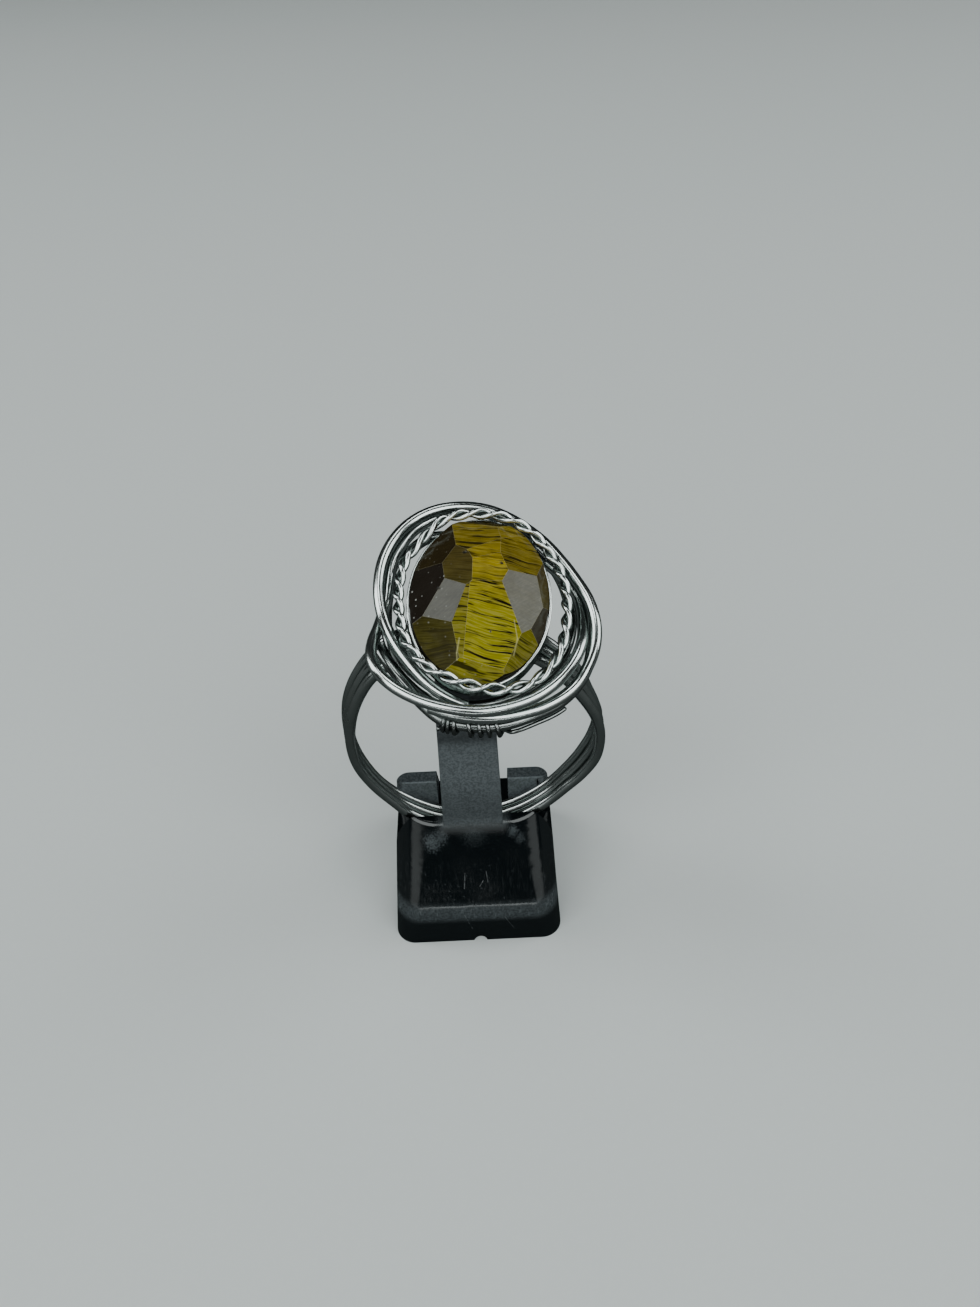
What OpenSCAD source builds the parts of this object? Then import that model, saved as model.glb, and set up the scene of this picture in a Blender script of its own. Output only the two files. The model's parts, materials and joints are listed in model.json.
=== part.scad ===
/* [Stone] */
// Length of the oval stone
stone_length = 14; // [12:0.5:16]
// Width of the oval stone
stone_width = 10; // [8.5:0.5:11]
// Height over the bezel's rim of the dome that the facets touch
dome_height = 2.4; // [1.8:0.1:3]
// Depth of the stone under the bezel's rim
stone_depth = 1.2; // [0.8:0.1:1.4]

/* [Bezel] */
// Thickness of the strip round the stone
bezel_wall = 0.2; // [0.15:0.05:0.3]
// Clearance between the stone and the strip
bezel_gap = 0.05; // [0.03:0.01:0.1]
// Height of the strip
bezel_height = 1.2; // [1:0.1:1.4]

/* [Wires] */
// Diameter of the thick round wire
wire_d = 0.9; // [0.7:0.05:0.9]
// Diameter of one strand of the twisted wire
strand_d = 0.42; // [0.3:0.02:0.42]
// Whole turns of the twist on its way round the stone
twist_turns = 14; // [12:1:20]
// Diameter of the binding wire
binding_d = 0.32; // [0.25:0.01:0.34]

/* [Ring] */
// Height of the ring's centre over the foot
ring_height = 19; // [18.9:0.05:19.2]
// Shift of the ring's centre to the right of the foot's middle
ring_right = 0.6; // [0:0.1:0.8]
// Spacing of the three shank wires
wire_spacing = 0.94; // [0.92:0.01:1]

/* [Head] */
// Shift of the stone's middle to the right of the ring's centre
head_right = 0.9; // [0.5:0.1:1.2]
// Shift of the stone's middle behind the ring's centre
head_back = 0.9; // [0.5:0.1:1.2]
// Height of the bezel's rim over the ring's centre
head_rise = 12.4; // [12.3:0.1:13]
// Tilt of the head towards the front
head_tilt = 18; // [12:1:20]
// Lean of the head to the right
head_lean = 4; // [0:1:6]
// Turn of the stone's long side to the right
head_turn = 4; // [0:1:8]

/* [Stand] */
// Width of the foot
foot_width = 14.4; // [14:0.2:16]
// Front to back size of the foot
foot_depth = 14.6; // [14:0.2:17]
// Height of the foot's upright skirt
skirt_height = 3.4; // [3:0.1:5]
// Height of the front wall
wall_height = 10.4; // [10:0.1:10.4]
// Width of the front wall and of the two lugs at the top
top_width = 13.2; // [12.6:0.2:13.6]
// Height of the two back lugs
lug_height = 10.6; // [10.4:0.1:11.4]
// Front to back width of the groove that holds the ring
groove_width = 3.5; // [3.4:0.1:4]
// Width of the tongue at its root
tongue_width = 5; // [4:0.1:5.2]
// Width of the tongue at its tip
tip_width = 4.6; // [4:0.1:5]
// Thickness of the tongue
tongue_thickness = 0.8; // [0.6:0.1:1]

/* [Hidden] */

$fn = 48;
WIRE_SIDES = 10;
STRAND_SIDES = 6;
LOOP_RINGS = 56;
RINGS_PER_TURN = 8;
BINDING_RINGS = 12;
SLICE = 0.01;
REACH = 1;
LEVEL = 2;
SPREAD = 3;
TURNS = 1;
ALONG = 2;
STAND_OFF = 3;

// Facets of the stone: the place on the dome that each one touches, and how much deeper it is cut
// columns: across, along, cut
FACETS = [
    [0.8, -3.2, 0.38], [-0.5, 5, 0.28], [-3.5, 3.2, 0.27], [-3.9, 0.3, 0.28], [-2.1, 1.5, 0.14],
    [-2.7, -1.6, 0.21], [-2.7, -3.8, 0.19], [2.8, 3.2, 0.25], [1.6, 5.2, 0.1], [0.1, 3.7, 0.15],
    [3.3, -0.6, 0.27], [4.5, -2.4, 0.15], [3.7, -4.2, 0.16], [-0.1, -6.7, 0.12], [0.1, 6.7, 0.2],
    [0.6, 1.8, 0.1], [-0.3, -3.2, 0.23], [4.6, 0.7, 0.12]
];

// Centreline of the twisted wire
// columns: angle, reach, level, spread of the strands
TWIST = [
    [0, 6.3, 0.05, 0.25], [12, 6.3, 0.05, 0.25], [25, 6.35, 0.15, 0.25], [40, 6.45, 0.3, 0.25],
    [54, 6.75, 0.45, 0.25], [68, 7, 0.62, 0.26], [80, 7.14, 0.72, 0.28], [92, 7.15, 0.76, 0.28],
    [104, 7.12, 0.82, 0.27], [117, 7.08, 0.66, 0.26], [128, 6.75, 0.3, 0.25], [140, 6.5, 0.05, 0.25],
    [152, 6.35, 0.05, 0.25], [164, 6.05, 0.05, 0.25], [180, 5.85, 0.05, 0.25],
    [200, 5.9, 0.05, 0.25], [217, 6.3, 0.1, 0.25], [229, 6.55, 0.25, 0.25], [243, 6.95, 0.5, 0.25],
    [256, 7.2, 0.7, 0.28], [268, 7.4, 0.6, 0.32], [280, 7.6, 0.45, 0.34], [293, 7.75, 0.25, 0.3],
    [305, 7.65, 0.15, 0.26], [318, 7.3, 0.1, 0.25], [330, 6.9, 0.05, 0.25], [342, 6.55, 0, 0.25]
];

// Centrelines of the four nest wires, from one tucked end to the other
// columns: angle, reach, level
NEST_1 = [
    [250, 8.8, -1.3], [270, 8.85, -1.3], [290, 8.95, -1.3], [305, 9.15, -1.3], [320, 9.25, -1.2],
    [331, 9.1, -0.9], [341, 8.9, -0.6], [351, 8.55, -0.4], [365, 8, -0.4], [380, 7.45, -0.45],
    [395, 7.25, -0.5], [409, 7.35, -0.5], [424, 7.65, -0.5], [437, 8.1, -0.5], [450, 8.5, -0.4],
    [465, 8.75, -0.3], [478, 8.85, -0.3], [490, 8.7, -0.3], [503, 8.35, -0.3], [517, 7.9, -0.3],
    [530, 7.5, -0.3], [543, 7.2, -0.3], [557, 7, -0.4], [573, 6.85, -0.8], [588, 6.85, -1.2],
    [604, 7.15, -1.5], [617, 7.5, -1.6], [628, 7.8, -1.8]
];
NEST_2 = [
    [60, 7.8, -1.6], [80, 8.6, -1.4], [92, 8.85, -1.3], [104, 8.95, -1.25], [116, 8.85, -1.25],
    [128, 8.55, -1.25], [140, 8.05, -1.25], [152, 7.6, -1.25], [165, 7.05, -1.25], [178, 6.8, -1.3],
    [188, 7, -1.35], [197, 7.45, -1.3], [206, 8.2, -1.05], [214, 8.8, -0.75], [223, 9.15, -0.45],
    [233, 9.2, -0.3], [246, 9.05, -0.3], [259, 8.9, -0.3], [273, 8.85, -0.3], [286, 8.7, -0.3],
    [299, 8.6, -0.3], [311, 8.45, -0.3], [324, 8.25, -0.3], [337, 8, -0.35], [352, 7.65, -0.85],
    [365, 7.5, -1.25], [377, 7.35, -1.45], [390, 7, -1.6], [405, 6.8, -1.8]
];
NEST_3 = [
    [105, 7.5, -2.5], [122, 8, -2.3], [140, 7.6, -2.2], [160, 7.1, -2.2], [180, 6.8, -2.35],
    [200, 6.85, -2.5], [208, 6.95, -2.55], [218, 7, -2.65], [233, 7.05, -2.7], [250, 7.2, -2.7],
    [262, 7.3, -2.7], [275, 7.3, -2.5], [290, 7.25, -2.1], [305, 7.2, -1.8], [320, 7.1, -1.6],
    [335, 7, -1.6], [350, 6.9, -1.9], [365, 6.9, -2.3], [380, 7, -2.55], [400, 7.4, -2.7],
    [420, 7.9, -2.7], [438, 8, -2.7]
];
NEST_4 = [
    [199, 7.85, -2.65], [205, 7.85, -2.35], [212, 7.75, -2.05], [222, 7.8, -1.85], [233, 7.95, -1.9],
    [246, 8.4, -2.3], [256, 8.75, -2.65], [270, 8.85, -2.7], [284, 8.9, -2.65], [298, 8.95, -2.4],
    [312, 9.15, -2.2], [326, 9.1, -2.05], [340, 8.8, -2], [353, 8.4, -2.1], [368, 8.2, -2.2],
    [380, 8.2, -2.3]
];

// Binding wire round the lowest nest wire, from its hidden end to the end of its tail
// columns: place along the wire, turns, angle, stand-off from the nest wire's centreline
BINDING = [
    [0, 0, 256, 0.68], [3, 3, 263, 0.68], [4, 4, 270, 0.68], [7, 7, 282, 0.68], [7.5, 7.25, 285, 0.85],
    [8, 7.15, 289, 0.72], [9, 7.15, 301, 0.68], [10, 7.15, 314, 0.68]
];

// Outlines of the front and back shank wires, seen from the front
// columns: angle, reach
SHANK_FRONT = [
    [0, 9.85], [10, 9.6], [18, 9.35], [28, 9.15], [45, 9.2], [65, 9.45], [90, 9.65], [115, 9.95],
    [134, 10.1], [150, 9.9], [164, 9.8], [180, 9.85], [195, 10], [211, 10.1], [225, 10.35],
    [237, 10.9], [252, 11.3], [268, 11.3], [286, 10.8], [303, 10.2], [317, 9.85], [330, 9.95],
    [342, 10.1], [351, 10]
];
SHANK_BACK = [
    [0, 9.85], [10, 9.6], [20, 9.45], [45, 9.7], [65, 10.05], [90, 10.4], [115, 10.7],
    [130, 10.7], [145, 10.45], [160, 10.3], [180, 10.2], [205, 10.5], [222, 10.95], [237, 11.3],
    [251, 11.6], [268, 11.5], [285, 10.95], [296, 10.5], [309, 10.05], [320, 9.75], [335, 9.65],
    [347, 9.75]
];

// Half axes of the stone's outline, and of the wider dome that its facets touch
stone_a = stone_width / 2;
stone_b = stone_length / 2;
dome_a = 1.07 * stone_a;
dome_b = 1.065 * stone_b;
dome_sink = 1;

// Places and small sizes of the stand
tongue_y = -groove_width / 2 - tongue_thickness;
slope_end_y = tongue_y + 0.1;
foot_corner_r = 1.7;
wall_corner_r = 3;
lug_corner_r = 1.1;
draft = 0.25;
groove_floor = 6.8;
lug_depth = 1.3;
lug_gap = 6.2;
tongue_bend = 3.4;
tongue_bend_height = 20.5;

function unit(v) = v / norm(v);

function oval(a, b, count = 64) = [
    for (i = [0 : count - 1]) [a * cos(360 * i / count), b * sin(360 * i / count)]
];

// Value of one column of a table at an angle, along a smooth curve through the rows
function row_before(table, angle) = max([
    for (i = [0 : len(table) - 2]) if (i == 0 || table[i][0] <= angle) i
]);
function slope_at(table, i, column) =
    let (low = max(i - 1, 0), high = min(i + 1, len(table) - 1))
    (table[high][column] - table[low][column]) / (table[high][0] - table[low][0]);
function smooth(table, angle, column) =
    let (
        i = row_before(table, angle),
        span = table[i + 1][0] - table[i][0],
        t = (angle - table[i][0]) / span
    )
    (2 * t ^ 3 - 3 * t ^ 2 + 1) * table[i][column]
    + (t ^ 3 - 2 * t ^ 2 + t) * span * slope_at(table, i, column)
    + (3 * t ^ 2 - 2 * t ^ 3) * table[i + 1][column]
    + (t ^ 3 - t ^ 2) * span * slope_at(table, i + 1, column);

// A table of a closed loop with rows added before its start and after its end
function shifted(row, turn) = [for (i = [0 : len(row) - 1]) i == 0 ? row[0] + turn : row[i]];
function looped(table) = let (last = len(table) - 1) [
    for (i = [last - 1 : last]) shifted(table[i], -360),
    for (row = table) row,
    for (i = [0 : 2]) shifted(table[i], 360)
];

function around(angle, reach, level) = [reach * cos(angle), reach * sin(angle), level];
function nest_point(table, angle) =
    around(angle, smooth(table, angle, REACH), smooth(table, angle, LEVEL));
function nest_path(table) =
    let (first = table[0][0], last = table[len(table) - 1][0])
    let (count = round(LOOP_RINGS * (last - first) / 360))
    [for (i = [0 : count]) nest_point(table, first + (last - first) * i / count)];

// Tube of round wire along a path; side gives a direction across the path at each point
module wire(path, side, diameter, sides, closed = false) {
    count = len(path);
    last = count - 1;
    points = [
        for (i = [0 : last])
            let (
                before = closed ? (i + count - 1) % count : max(i - 1, 0),
                after = closed ? (i + 1) % count : min(i + 1, last),
                forward = unit(path[after] - path[before]),
                up = unit(cross(forward, side[i])),
                across = cross(up, forward)
            )
            for (j = [0 : sides - 1])
                let (angle = 360 * j / sides)
                path[i] + diameter / 2 * (cos(angle) * across + sin(angle) * up)
    ];
    walls = [
        for (i = [0 : closed ? last : last - 1])
            for (j = [0 : sides - 1])
                let (here = i * sides, next = (i + 1) % count * sides, turn = (j + 1) % sides)
                each [[here + j, next + j, next + turn], [here + j, next + turn, here + turn]]
    ];
    ends = closed ? [] : [
        [for (j = [0 : sides - 1]) j],
        [for (j = [sides - 1 : -1 : 0]) last * sides + j]
    ];
    polyhedron(points, concat(walls, ends), convexity = 6);
}

module at_head() {
    translate([ring_right + head_right, head_back, ring_height + head_rise])
        rotate([head_tilt, head_lean, 0])
            rotate([0, 0, -head_turn])
                children();
}

// Half space under the facet that touches the dome at one place
module under_facet(facet) {
    size = 4 * stone_length;
    x = facet[0] / dome_a;
    y = facet[1] / dome_b;
    rise = dome_height + dome_sink;
    z = sqrt(1 - x * x - y * y);
    normal = [x / dome_a, y / dome_b, z / rise];
    slope = acos(normal[2] / norm(normal));
    azimuth = atan2(normal[1], normal[0]);
    translate([facet[0], facet[1], rise * z - dome_sink])
        rotate([0, slope, azimuth])
            translate([-size / 2, -size / 2, -size - facet[2]])
                cube(size);
}

module stone() {
    color("darkgoldenrod")
        at_head()
            intersection() {
                translate([0, 0, -stone_depth])
                    linear_extrude(stone_depth + dome_height + dome_sink)
                        polygon(oval(stone_a, stone_b));
                intersection_for (facet = FACETS)
                    under_facet(facet);
            }
}

module bezel() {
    inner = bezel_gap;
    outer = bezel_gap + bezel_wall;
    color("silver")
        at_head()
            translate([0, 0, -bezel_height])
                linear_extrude(bezel_height)
                    difference() {
                        polygon(oval(stone_a + outer, stone_b + outer));
                        polygon(oval(stone_a + inner, stone_b + inner));
                    }
}

module twist_strand(start) {
    table = looped(TWIST);
    count = twist_turns * RINGS_PER_TURN;
    angles = [for (i = [0 : count - 1]) 360 * i / count];
    path = [
        for (angle = angles)
            let (
                phase = start + twist_turns * angle,
                spread = smooth(table, angle, SPREAD)
            )
            nest_point(table, angle)
            + around(angle, spread * cos(phase), spread * sin(phase))
    ];
    side = [for (angle = angles) around(angle, 1, 0)];
    color("silver")
        at_head()
            wire(path, side, strand_d, STRAND_SIDES, closed = true);
}

module twist_strand_1() {
    twist_strand(0);
}

module twist_strand_2() {
    twist_strand(180);
}

module nest_wire(table) {
    path = nest_path(table);
    side = [for (point = path) [point[0], point[1], 0]];
    color("silver")
        at_head()
            wire(path, side, wire_d, WIRE_SIDES);
}

module nest_wire_1() {
    nest_wire(NEST_1);
}

module nest_wire_2() {
    nest_wire(NEST_2);
}

module nest_wire_3() {
    nest_wire(NEST_3);
}

module nest_wire_4() {
    nest_wire(NEST_4);
}

module binding_wire() {
    last_place = BINDING[len(BINDING) - 1][0];
    count = BINDING_RINGS * last_place;
    places = [for (i = [0 : count]) last_place * i / count];
    path = [
        for (place = places)
            let (
                phase = -360 * smooth(BINDING, place, TURNS),
                angle = smooth(BINDING, place, ALONG),
                off = smooth(BINDING, place, STAND_OFF)
            )
            nest_point(NEST_4, angle) + around(angle, off * cos(phase), off * sin(phase))
    ];
    side = [for (place = places) around(smooth(BINDING, place, ALONG) + 90, 1, 0)];
    color("silver")
        at_head()
            wire(path, side, binding_d, STRAND_SIDES);
}

function outline_reach(table, angle) = smooth(looped(table), angle, REACH);

// place runs from -1 for the front wire to 1 for the back wire
module shank_wire(place) {
    path = [
        for (i = [0 : LOOP_RINGS - 1])
            let (
                angle = 360 * i / LOOP_RINGS,
                front = outline_reach(SHANK_FRONT, angle),
                back = outline_reach(SHANK_BACK, angle),
                reach = front + (back - front) * (place + 1) / 2
            )
            [reach * cos(angle), place * wire_spacing, reach * sin(angle)]
    ];
    side = [for (point = path) [0, 1, 0]];
    color("silver")
        translate([ring_right, 0, ring_height])
            wire(path, side, wire_d, WIRE_SIDES, closed = true);
}

module shank_front() {
    shank_wire(-1);
}

module shank_middle() {
    shank_wire(0);
}

module shank_back() {
    shank_wire(1);
}

// Thin level slice of the foot that ends at one height, with rounded front and back corners
module foot_slice(height, width, front, back, front_r, back_r) {
    translate([0, 0, height - SLICE])
        linear_extrude(SLICE)
            hull()
                for (side = [-1, 1]) {
                    translate([side * (width / 2 - front_r), front + front_r])
                        circle(front_r);
                    translate([side * (width / 2 - back_r), back - back_r])
                        circle(back_r);
                }
}

// Foot with nearly upright skirt and sloping sides, before its groove is cut
module foot_block() {
    skirt_width = foot_width - 2 * draft;
    skirt_y = foot_depth / 2 - draft;
    back_y = groove_width / 2 + lug_depth;
    hull() {
        foot_slice(SLICE, foot_width, -foot_depth / 2, foot_depth / 2, foot_corner_r, foot_corner_r);
        foot_slice(skirt_height, skirt_width, -skirt_y, skirt_y, foot_corner_r, foot_corner_r);
        foot_slice(lug_height, top_width, slope_end_y, back_y, wall_corner_r, lug_corner_r);
    }
}

module foot() {
    wide = 2 * foot_width;
    difference() {
        foot_block();
        translate([-foot_width, -groove_width / 2, groove_floor])
            cube([wide, groove_width, lug_height]);
        translate([-foot_width, -foot_depth, wall_height])
            cube([wide, foot_depth, lug_height]);
        translate([-lug_gap / 2, 0, groove_floor])
            cube([lug_gap, foot_depth, lug_height]);
    }
}

// Tongue seen from the side: upright, with a half-round hook that passes through the ring
module tongue_side() {
    translate([tongue_y, groove_floor])
        square([tongue_thickness, tongue_bend_height - groove_floor]);
    translate([tongue_y + tongue_bend, tongue_bend_height])
        difference() {
            intersection() {
                circle(tongue_bend);
                translate([-tongue_bend, 0])
                    square([2 * tongue_bend, tongue_bend]);
            }
            circle(tongue_bend - tongue_thickness);
        }
}

// Tongue seen from the front, narrower towards the hook
module tongue_front() {
    top = tongue_bend_height + tongue_bend;
    polygon([
        [-tongue_width / 2, groove_floor], [tongue_width / 2, groove_floor],
        [tip_width / 2, tongue_bend_height], [tip_width / 2, top],
        [-tip_width / 2, top], [-tip_width / 2, tongue_bend_height]
    ]);
}

module tongue() {
    intersection() {
        translate([-foot_width / 2, 0, 0])
            rotate([90, 0, 90])
                linear_extrude(foot_width)
                    tongue_side();
        translate([0, foot_depth / 2, 0])
            rotate([90, 0, 0])
                linear_extrude(foot_depth)
                    tongue_front();
    }
}

module stand() {
    color([0.06, 0.07, 0.07]) {
        foot();
        tongue();
    }
}

stone();
bezel();
twist_strand_1();
twist_strand_2();
nest_wire_1();
nest_wire_2();
nest_wire_3();
nest_wire_4();
shank_front();
shank_middle();
shank_back();
binding_wire();
stand();
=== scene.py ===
"""Tiger eye ring on a small display stand: shapes, finishes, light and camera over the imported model.

Lengths in the tables are millimetres. Places on the head are seen from above the stone:
across to the right, along towards its top end, and level over the bezel's rim.
"""

import json
import math

import bmesh
import bpy
from bpy.props import FloatProperty, FloatVectorProperty, IntProperty, PointerProperty
from mathutils import Matrix, Vector

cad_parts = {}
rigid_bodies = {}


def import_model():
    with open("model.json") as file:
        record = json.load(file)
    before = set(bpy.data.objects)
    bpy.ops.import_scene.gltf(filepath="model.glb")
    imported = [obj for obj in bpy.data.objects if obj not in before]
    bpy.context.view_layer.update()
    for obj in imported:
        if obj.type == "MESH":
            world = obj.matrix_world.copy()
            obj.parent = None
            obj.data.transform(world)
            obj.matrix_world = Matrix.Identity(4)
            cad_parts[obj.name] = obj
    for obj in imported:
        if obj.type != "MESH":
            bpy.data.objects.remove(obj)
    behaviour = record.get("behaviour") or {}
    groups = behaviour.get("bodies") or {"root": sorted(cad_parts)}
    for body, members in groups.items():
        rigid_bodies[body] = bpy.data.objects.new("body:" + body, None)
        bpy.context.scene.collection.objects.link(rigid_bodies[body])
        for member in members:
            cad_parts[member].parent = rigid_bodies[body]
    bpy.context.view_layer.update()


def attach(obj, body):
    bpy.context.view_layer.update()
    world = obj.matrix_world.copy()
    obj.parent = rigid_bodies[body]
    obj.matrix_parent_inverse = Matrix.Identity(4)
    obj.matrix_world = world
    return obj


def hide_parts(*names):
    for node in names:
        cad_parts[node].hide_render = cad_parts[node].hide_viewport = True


bl_info = {
    "name": "Tiger Eye Ring",
    "version": (1, 0, 0),
    "blender": (4, 5, 0),
    "location": "3D View > Sidebar > Ring",
    "description": "Builds a wire ring with a faceted tiger eye on its display stand",
    "category": "Object",
}

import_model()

MM = 0.001

# Tables

# Facets: the place on the dome that each one touches, how much deeper it is cut, and how it looks
# columns: across, along, cut, gold (the golden sheen, painted per facet), light (painted light and shade
# per facet), grey (a painted silky reflection), stripes, specks
FACETS = [
    (0.8, -3.2, 0.38, 1.0, 1.0, 0.0, 1.0, 0.0),
    (-0.5, 5.0, 0.28, 0.8, 0.85, 0.0, 0.9, 0.0),
    (-3.5, 3.2, 0.27, 0.12, 0.7, 0.0, 0.1, 0.2),
    (-3.9, 0.3, 0.28, 0.0, 0.6, 0.1, 0.0, 1.0),
    (-2.1, 1.5, 0.14, 0.36, 0.7, 0.1, 0.4, 0.2),
    (-2.7, -1.6, 0.21, 0.15, 0.7, 0.6, 0.1, 0.3),
    (-2.7, -3.8, 0.19, 0.34, 0.6, 0.0, 0.5, 0.3),
    (2.8, 3.2, 0.25, 0.8, 0.8, 0.0, 0.9, 0.0),
    (1.6, 5.2, 0.1, 0.85, 0.9, 0.0, 0.6, 0.0),
    (0.1, 3.7, 0.15, 0.85, 1.0, 0.0, 0.8, 0.0),
    (3.3, -0.6, 0.27, 0.3, 0.9, 0.7, 0.1, 0.1),
    (4.5, -2.4, 0.15, 0.1, 0.8, 0.3, 0.0, 0.1),
    (3.7, -4.2, 0.16, 0.8, 0.75, 0.0, 0.8, 0.1),
    (-0.1, -6.7, 0.12, 0.85, 1.0, 0.0, 0.9, 0.2),
    (0.1, 6.7, 0.2, 0.5, 0.6, 0.0, 0.5, 0.0),
    (0.6, 1.8, 0.1, 0.9, 1.1, 0.0, 0.7, 0.0),
    (-0.3, -3.2, 0.23, 0.8, 0.9, 0.05, 0.9, 0.0),
    (4.6, 0.7, 0.12, 0.3, 0.8, 0.2, 0.1, 0.1),
]

# Width of the worn ridges between the facets, and the fewest facets that a finished stone has
WORN_RIDGE = 0.035
FEWEST_FACETS = 12

# How the stone's side looks: gold (painted sheen), light (painted shade), grey (painted silky reflection),
# stripes, specks
GIRDLE_LOOK = (0.1, 0.35, 0.1, 0.0, 0.0)

# The dome that the facets touch is a little larger than the stone, and its middle lies under the rim
DOME_OVER_WIDTH = 1.07
DOME_OVER_LENGTH = 1.065
DOME_SINK = 1.0

# Kinds of face while the stone is cut
GIRDLE, FACET, RIDGE = 0, 1, 2

# Depth of the dents in the bezel's burnished rim, and the level that they stay over
RIM_DENT = 0.012
RIM_LEVEL = -0.2

# Share of the full size that keeps a finer, rounder wire inside the box of the CAD's wire
FINE_SHARE = 0.94

# Length in which the cut end of a wire is rounded
WIRE_END = 0.12

# Fineness of the round shapes
STONE_SIDES, BEZEL_SIDES = 128, 192
THICK_SIDES, STRAND_SIDES, BINDING_SIDES = 28, 14, 12
SHANK_POINTS, POINTS_A_TURN, POINTS_A_DEGREE = 240, 24, 0.7

# Edges stay crisp where two faces meet at more than this angle
CRISP_ANGLE = 35

# Centreline of the twisted wire
# columns: angle, reach, level, spread of the strands
TWIST = [
    (0, 6.3, 0.05, 0.25), (12, 6.3, 0.05, 0.25), (25, 6.35, 0.15, 0.25), (40, 6.45, 0.3, 0.25),
    (54, 6.75, 0.45, 0.25), (68, 7, 0.62, 0.26), (80, 7.14, 0.72, 0.28), (92, 7.15, 0.76, 0.28),
    (104, 7.12, 0.82, 0.27), (117, 7.08, 0.66, 0.26), (128, 6.75, 0.3, 0.25), (140, 6.5, 0.05, 0.25),
    (152, 6.35, 0.05, 0.25), (164, 6.05, 0.05, 0.25), (180, 5.85, 0.05, 0.25),
    (200, 5.9, 0.05, 0.25), (217, 6.3, 0.1, 0.25), (229, 6.55, 0.25, 0.25), (243, 6.95, 0.5, 0.25),
    (256, 7.2, 0.7, 0.28), (268, 7.4, 0.6, 0.32), (280, 7.6, 0.45, 0.34), (293, 7.75, 0.25, 0.3),
    (305, 7.65, 0.15, 0.26), (318, 7.3, 0.1, 0.25), (330, 6.9, 0.05, 0.25), (342, 6.55, 0, 0.25),
]

# Centrelines of the nest wires, from one tucked end to the other
# columns: angle, reach, level
NEST = {
    "nest_wire_1": [
        (250, 8.8, -1.3), (270, 8.85, -1.3), (290, 8.95, -1.3), (305, 9.15, -1.3), (320, 9.25, -1.2),
        (331, 9.1, -0.9), (341, 8.9, -0.6), (351, 8.55, -0.4), (365, 8, -0.4), (380, 7.45, -0.45),
        (395, 7.25, -0.5), (409, 7.35, -0.5), (424, 7.65, -0.5), (437, 8.1, -0.5), (450, 8.5, -0.4),
        (465, 8.75, -0.3), (478, 8.85, -0.3), (490, 8.7, -0.3), (503, 8.35, -0.3), (517, 7.9, -0.3),
        (530, 7.5, -0.3), (543, 7.2, -0.3), (557, 7, -0.4), (573, 6.85, -0.8), (588, 6.85, -1.2),
        (604, 7.15, -1.5), (617, 7.5, -1.6), (628, 7.8, -1.8),
    ],
    "nest_wire_2": [
        (60, 7.8, -1.6), (80, 8.6, -1.4), (92, 8.85, -1.3), (104, 8.95, -1.25), (116, 8.85, -1.25),
        (128, 8.55, -1.25), (140, 8.05, -1.25), (152, 7.6, -1.25), (165, 7.05, -1.25), (178, 6.8, -1.3),
        (188, 7, -1.35), (197, 7.45, -1.3), (206, 8.2, -1.05), (214, 8.8, -0.75), (223, 9.15, -0.45),
        (233, 9.2, -0.3), (246, 9.05, -0.3), (259, 8.9, -0.3), (273, 8.85, -0.3), (286, 8.7, -0.3),
        (299, 8.6, -0.3), (311, 8.45, -0.3), (324, 8.25, -0.3), (337, 8, -0.35), (352, 7.65, -0.85),
        (365, 7.5, -1.25), (377, 7.35, -1.45), (390, 7, -1.6), (405, 6.8, -1.8),
    ],
    "nest_wire_3": [
        (105, 7.5, -2.5), (122, 8, -2.3), (140, 7.6, -2.2), (160, 7.1, -2.2), (180, 6.8, -2.35),
        (200, 6.85, -2.5), (208, 6.95, -2.55), (218, 7, -2.65), (233, 7.05, -2.7), (250, 7.2, -2.7),
        (262, 7.3, -2.7), (275, 7.3, -2.5), (290, 7.25, -2.1), (305, 7.2, -1.8), (320, 7.1, -1.6),
        (335, 7, -1.6), (350, 6.9, -1.9), (365, 6.9, -2.3), (380, 7, -2.55), (400, 7.4, -2.7),
        (420, 7.9, -2.7), (438, 8, -2.7),
    ],
    "nest_wire_4": [
        (199, 7.85, -2.65), (205, 7.85, -2.35), (212, 7.75, -2.05), (222, 7.8, -1.85),
        (233, 7.95, -1.9), (246, 8.4, -2.3), (256, 8.75, -2.65), (270, 8.85, -2.7),
        (284, 8.9, -2.65), (298, 8.95, -2.4), (312, 9.15, -2.2), (326, 9.1, -2.05),
        (340, 8.8, -2), (353, 8.4, -2.1), (368, 8.2, -2.2), (380, 8.2, -2.3),
    ],
}

# Binding wire round nest_wire_4, from its hidden end to the end of its tail
# columns: place along the wire, turns, angle, stand-off from the nest wire's centreline
BINDING = [
    (0, 0, 256, 0.68), (3, 3, 263, 0.68), (4, 4, 270, 0.68), (7, 7, 282, 0.68),
    (7.5, 7.25, 285, 0.85), (8, 7.15, 289, 0.72), (9, 7.15, 301, 0.68), (10, 7.15, 314, 0.68),
]

# Outlines of the front and back shank wires, seen from the front
# columns: angle, reach
SHANK_FRONT = [
    (0, 9.85), (10, 9.6), (18, 9.35), (28, 9.15), (45, 9.2), (65, 9.45), (90, 9.65), (115, 9.95),
    (134, 10.1), (150, 9.9), (164, 9.8), (180, 9.85), (195, 10), (211, 10.1), (225, 10.35),
    (237, 10.9), (252, 11.3), (268, 11.3), (286, 10.8), (303, 10.2), (317, 9.85), (330, 9.95),
    (342, 10.1), (351, 10),
]
SHANK_BACK = [
    (0, 9.85), (10, 9.6), (20, 9.45), (45, 9.7), (65, 10.05), (90, 10.4), (115, 10.7),
    (130, 10.7), (145, 10.45), (160, 10.3), (180, 10.2), (205, 10.5), (222, 10.95), (237, 11.3),
    (251, 11.6), (268, 11.5), (285, 10.95), (296, 10.5), (309, 10.05), (320, 9.75), (335, 9.65),
    (347, 9.75),
]

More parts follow.
